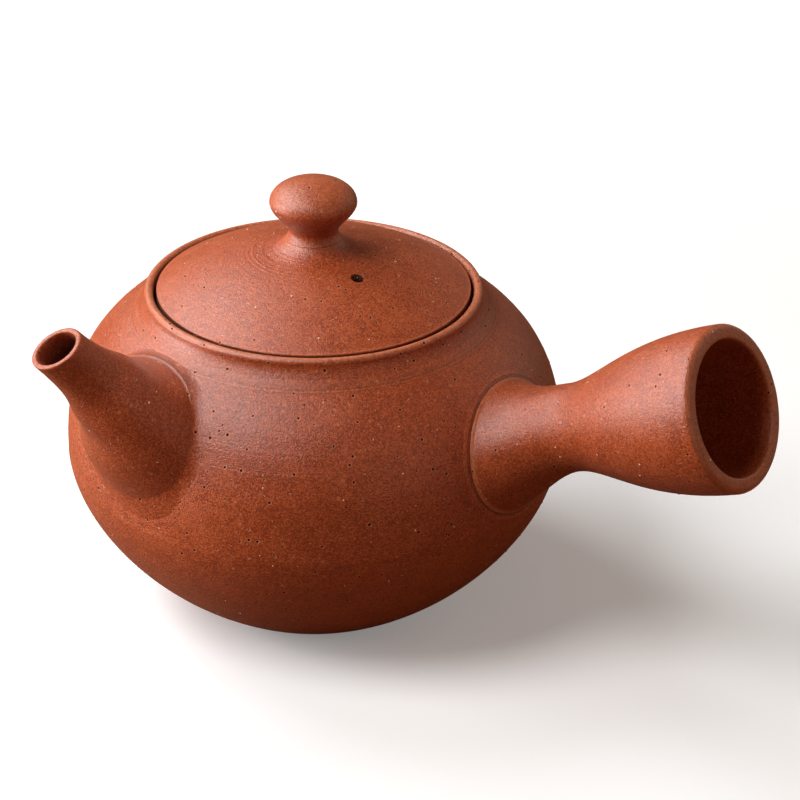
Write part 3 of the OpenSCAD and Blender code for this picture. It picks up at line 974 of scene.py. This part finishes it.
def makeKnob(f):
    height = f["top"] - f["foot"]
    neck = (f["neckR"], f["neckZ"])
    wide = (f["wideR"], f["wideZ"])
    drop = f["wideZ"] - f["neckZ"]
    crownPull = (f["wideR"], f["wideZ"] + (height - f["wideZ"]) * 0.6)
    cap = pullCurve((0, height), (f["wideR"] * 0.56, height), crownPull, wide, 44)
    under = pullCurve(wide, (wide[0], wide[1] - drop * 0.34), (neck[0], neck[1] + drop * 0.30), neck, 44)
    footPull = (f["footR"] - 0.3 * mm, f["neckZ"] * 0.3)
    foot = pullCurve((f["footR"], 0.02 * mm), footPull, (f["neckR"], f["neckZ"] * 0.6), neck, 12)[:-1]
    points = [(f["footR"] * i / 6, 0, 0, 0) for i in range(6)]
    points += [(f["footR"] - 0.12 * mm, 0, 0, 0)]
    points += marked(foot, 0.2, 0)
    # the hand rubs the cap lighter; painted shade darkens the underside of the cap
    points += [(p[0], p[1], -0.3 * math.sin(math.pi * i / 44), 1) for i, p in enumerate(under[::-1])]
    points += marked(cap[::-1][1:], 0.2, 1)
    points = [(p[0], f["foot"] + p[1], p[2], p[3]) for p in points]
    return turnOnWheel("lidKnob", points, clayKnob, f)


lidDome = makeLid(lidForm)
ventR = lidForm["ventR"]
ventAz = math.radians(lidForm["ventAz"])
ventPlace = Vector((ventR * math.cos(ventAz), ventR * math.sin(ventAz), domeHeight(ventR, 0)))
lidDome = drill(lidDome, ventPlace, (0, 0, 1), lidForm["ventHole"], 16 * mm, 40, 40)
lidKnob = makeKnob(knobForm)
print("lid and knob turned")


# pale grains that stand in the clay

grainLook = {
    "density": 11000.0,
    "least": 0.09 * mm,
    "most": 0.29 * mm,
    "dark": (0.62, 0.30, 0.18, 1),
    "pale": (0.90, 0.66, 0.50, 1),
}


def makeGrainMaterial(look):
    mat, t = newMaterial("paleGrain")
    place = t.add("ShaderNodeTexCoord").outputs["Object"]
    tone = t.add("ShaderNodeTexNoise", None, Vector=place, Scale=420.0, Detail=2.0).outputs["Fac"]
    colour = t.mixColour(t.between(tone, 0.35, 0.65), look["dark"], look["pale"])
    skin = t.add("ShaderNodeBsdfPrincipled", None, Base_Color=colour, Roughness=0.6)
    t.add("ShaderNodeOutputMaterial", None, i0=skin.outputs[0])
    return mat


def makeGrainTree():
    tree = bpy.data.node_groups.new("clayGrains", "GeometryNodeTree")
    addSockets(tree, {"Clay": "Geometry", "Density": "Float", "Least": "Float", "Most": "Float",
                      "Seed": "Int", "Grain": "Material"})
    t = Tree(tree)
    given = t.add("NodeGroupInput").outputs
    seed = given["Seed"]
    outside = t.add("GeometryNodeInputNamedAttribute", {"data_type": "FLOAT"}, Name="outside").outputs[0]
    shown = t.math("GREATER_THAN", outside, 0.25)
    spread = t.add("GeometryNodeDistributePointsOnFaces", None, Mesh=given["Clay"], Selection=shown,
                   Density=given["Density"], Seed=seed)
    least, most = given["Least"], given["Most"]
    size = t.add("FunctionNodeRandomValue", {"data_type": "FLOAT"}, i2=least, i3=most, Seed=seed)
    width = size.outputs[1]
    flat = t.add("ShaderNodeCombineXYZ", None, X=width, Y=width, Z=t.math("MULTIPLY", width, 0.5))
    stone = t.add("GeometryNodeMeshIcoSphere", None, Radius=1.0, Subdivisions=1)
    put = t.add("GeometryNodeInstanceOnPoints", None, Points=spread.outputs["Points"],
                Instance=stone.outputs[0], Rotation=spread.outputs["Rotation"], Scale=flat.outputs[0])
    real = t.add("GeometryNodeRealizeInstances", None, Geometry=put.outputs[0]).outputs[0]
    done = t.add("GeometryNodeSetMaterial", None, Geometry=real, Material=given["Grain"]).outputs[0]
    t.add("NodeGroupOutput", None, i0=done)
    return tree


paleGrain = makeGrainMaterial(grainLook)
grainTree = makeGrainTree()


def scatterGrains(name, pieces, look, seed):
    b = bmesh.new()
    for piece in pieces:
        b.from_mesh(piece.data)
    mesh = bpy.data.meshes.new(name + "Ground")
    b.to_mesh(mesh)
    b.free()
    obj = addObject(name + "Ground", mesh)
    mod = obj.modifiers.new("grains", "NODES")
    mod.node_group = grainTree
    setInputs(mod, {
        "Density": look["density"],
        "Least": look["least"],
        "Most": look["most"],
        "Seed": seed,
        "Grain": paleGrain,
    })
    return plainMesh(obj, name)


potGrains = scatterGrains("potGrains", [potWall, spoutTrumpet, handleTrumpet], grainLook, 4)
lidGrains = scatterGrains("lidGrains", [lidDome, lidKnob], grainLook, 9)
print("grains scattered:", len(potGrains.data.polygons) + len(lidGrains.data.polygons), "faces")


# pieces take the place of the plain solids and ride on their bodies

for piece, node, body, slot in (
    (potWall, "body", "pot", "clay_body"),
    (spoutTrumpet, "spout", "pot", "clay_spout"),
    (handleTrumpet, "handle", "pot", "clay_handle"),
    (lidDome, "lid", "lid", "clay_lid"),
    (lidKnob, "knob", "lid", "clay_knob"),
):
    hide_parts(node)
    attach(piece, body)
for piece, body, slot in ((potGrains, "pot", "clay_body"), (lidGrains, "lid", "clay_lid")):
    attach(piece, body)
strainer = bpy.data.objects["strainer"]
strainer.data.materials.clear()
strainer.data.materials.append(clayStrainer)
print("pieces riding on pot and lid")


# floor, light and background

studio = {
    "floorHalf": 6.0,
    "floorZ": -0.05 * mm,
    "floorSeen": (0.90, 0.90, 0.90, 1),
    "floorBounce": (0.20, 0.09, 0.045, 1),
    "floorLift": 0.20,
    "floorFar": 0.90,
    "floorFade": (0.15, 0.60),
    "roomColour": (1.0, 0.66, 0.46, 1),
    "room": 0.11,
    # name: turn about Z, height angle, size, power, colour
    "lamps": {
        "windowBack": (178.0, 44.0, 0.44, 3.1, (0.92, 0.98, 1)),
        "windowLow": (214.0, 10.0, 0.38, 4.3, (1, 1, 1)),
        "windowFront": (244.0, 50.0, 0.38, 3.3, (1, 1, 1)),
        "fillRight": (60.0, 16.0, 0.80, 0.75, (1, 0.76, 0.58)),
        "fillFront": (-10.0, 20.0, 0.38, 0.25, (1, 0.82, 0.68)),
    },
    "lampDistance": 0.7,
    "lampAim": (0, 0, 0.045),
}


def makeFloor(look):
    half = look["floorHalf"]
    z = look["floorZ"]
    corners = [(-half, -half, z), (half, -half, z), (half, half, z), (-half, half, z)]
    mesh = bpy.data.meshes.new("floor")
    mesh.from_pydata(corners, [], [(0, 1, 2, 3)])
    mat, t = newMaterial("paleFloor")
    seen = t.add("ShaderNodeLightPath").outputs["Is Camera Ray"]
    colour = t.mixColour(seen, look["floorBounce"], look["floorSeen"])
    skin = t.add("ShaderNodeBsdfDiffuse", None, Color=colour)
    # the floor brightens away from the pot, so that it has no dark horizon
    place = t.add("ShaderNodeTexCoord").outputs["Object"]
    away = t.add("ShaderNodeVectorMath", {"operation": "LENGTH"}, i0=place).outputs["Value"]
    level = t.between(away, *look["floorFade"], look["floorLift"], look["floorFar"], True)
    lift = t.add("ShaderNodeEmission", None, Color=(1, 1, 1, 1), Strength=t.math("MULTIPLY", seen, level))
    both = t.add("ShaderNodeAddShader", None, i0=skin.outputs[0], i1=lift.outputs[0])
    t.add("ShaderNodeOutputMaterial", None, i0=both.outputs[0])
    mesh.materials.append(mat)
    addObject("floor", mesh)


def addLamp(name, look, azimuth, elevation, size, power, colour):
    az = math.radians(azimuth)
    el = math.radians(elevation)
    way = Vector((math.cos(az) * math.cos(el), math.sin(az) * math.cos(el), math.sin(el)))
    data = bpy.data.lights.new(name, "AREA")
    data.shape = "DISK"
    data.size = size
    data.energy = power
    data.color = colour
    lamp = addObject(name, data)
    lamp.location = way * look["lampDistance"] + Vector(look["lampAim"])
    lamp.rotation_euler = way.to_track_quat("Z", "Y").to_euler()


def makeWorld(look):
    world = bpy.data.worlds.new("room")
    world.use_nodes = True
    world.node_tree.nodes.clear()
    t = Tree(world.node_tree)
    seen = t.add("ShaderNodeLightPath").outputs["Is Camera Ray"]
    level = t.between(seen, 0.0, 1.0, look["room"], 1.0)
    colour = t.mixColour(seen, look["roomColour"], (1, 1, 1, 1))
    back = t.add("ShaderNodeBackground", None, Color=colour, Strength=level)
    t.add("ShaderNodeOutputWorld", None, i0=back.outputs[0])
    scene.world = world


makeFloor(studio)
for lampName, lampValues in studio["lamps"].items():
    addLamp(lampName, studio, *lampValues)
makeWorld(studio)
scene.view_settings.view_transform = "Standard"
print("studio lit")
